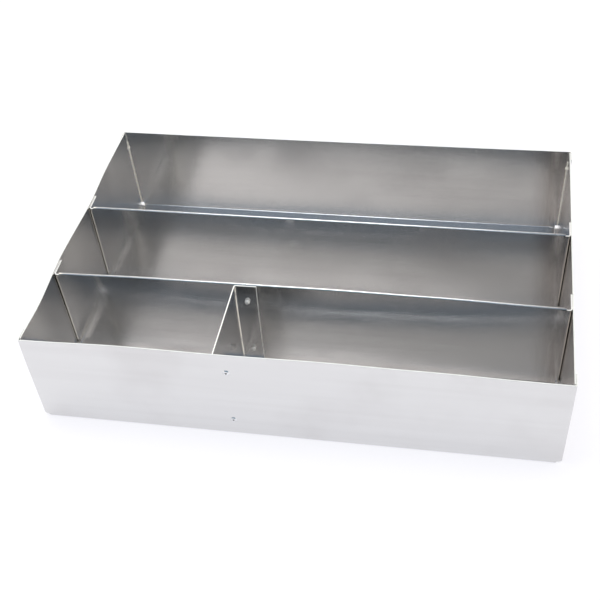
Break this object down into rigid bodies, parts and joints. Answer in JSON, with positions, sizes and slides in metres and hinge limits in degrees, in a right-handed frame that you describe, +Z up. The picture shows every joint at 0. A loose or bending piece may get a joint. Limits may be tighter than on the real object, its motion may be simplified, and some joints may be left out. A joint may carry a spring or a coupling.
{
  "type": "baguette tray",
  "caption": "Folded aluminium sheet tray with a flat floor and straight walls; riveted long dividers and a short cross divider part it into open-topped compartments for baguettes.",
  "frame": {"origin": "middle of the flat underside of the floor, the face that rests on a shelf", "axes": "+X along the 600 mm length, -Y towards the front wall where the short cross divider stands, +Z up towards the open top"},
  "size_m": [0.6, 0.4011, 0.125],
  "materials": {
    "tray_sheet": "bright mill-finish sheet with faint rolling marks",
    "divider_sheet": "bright mill-finish sheet with faint rolling marks",
    "rivet_aluminium": "satin, domed",
    "mandrel_steel": "dull zinc-plated steel",
    "weld_bead": "rippled, as welded"
  },
  "bodies": {
    "root": {"corner_weld_back_left": "weld_bead", "corner_weld_back_right": "weld_bead", "corner_weld_front_left": "weld_bead", "corner_weld_front_right": "weld_bead", "cross_divider": "divider_sheet", "cross_joint_lower_rivet": "rivet_aluminium", "cross_joint_lower_rivet_mandrel": "mandrel_steel", "cross_joint_upper_rivet": "rivet_aluminium", "cross_joint_upper_rivet_mandrel": "mandrel_steel", "front_divider": "divider_sheet", "front_divider_left_lower_rivet": "rivet_aluminium", "front_divider_left_lower_rivet_mandrel": "mandrel_steel", "front_divider_left_upper_rivet": "rivet_aluminium", "front_divider_left_upper_rivet_mandrel": "mandrel_steel", "front_divider_right_lower_rivet": "rivet_aluminium", "front_divider_right_lower_rivet_mandrel": "mandrel_steel", "front_divider_right_upper_rivet": "rivet_aluminium", "front_divider_right_upper_rivet_mandrel": "mandrel_steel", "front_wall_lower_rivet": "rivet_aluminium", "front_wall_lower_rivet_mandrel": "mandrel_steel", "front_wall_upper_rivet": "rivet_aluminium", "front_wall_upper_rivet_mandrel": "mandrel_steel", "rear_divider": "divider_sheet", "rear_divider_left_lower_rivet": "rivet_aluminium", "rear_divider_left_lower_rivet_mandrel": "mandrel_steel", "rear_divider_left_upper_rivet": "rivet_aluminium", "rear_divider_left_upper_rivet_mandrel": "mandrel_steel", "rear_divider_right_lower_rivet": "rivet_aluminium", "rear_divider_right_lower_rivet_mandrel": "mandrel_steel", "rear_divider_right_upper_rivet": "rivet_aluminium", "rear_divider_right_upper_rivet_mandrel": "mandrel_steel", "tray_body": "tray_sheet"}
  },
  "joints": []
}
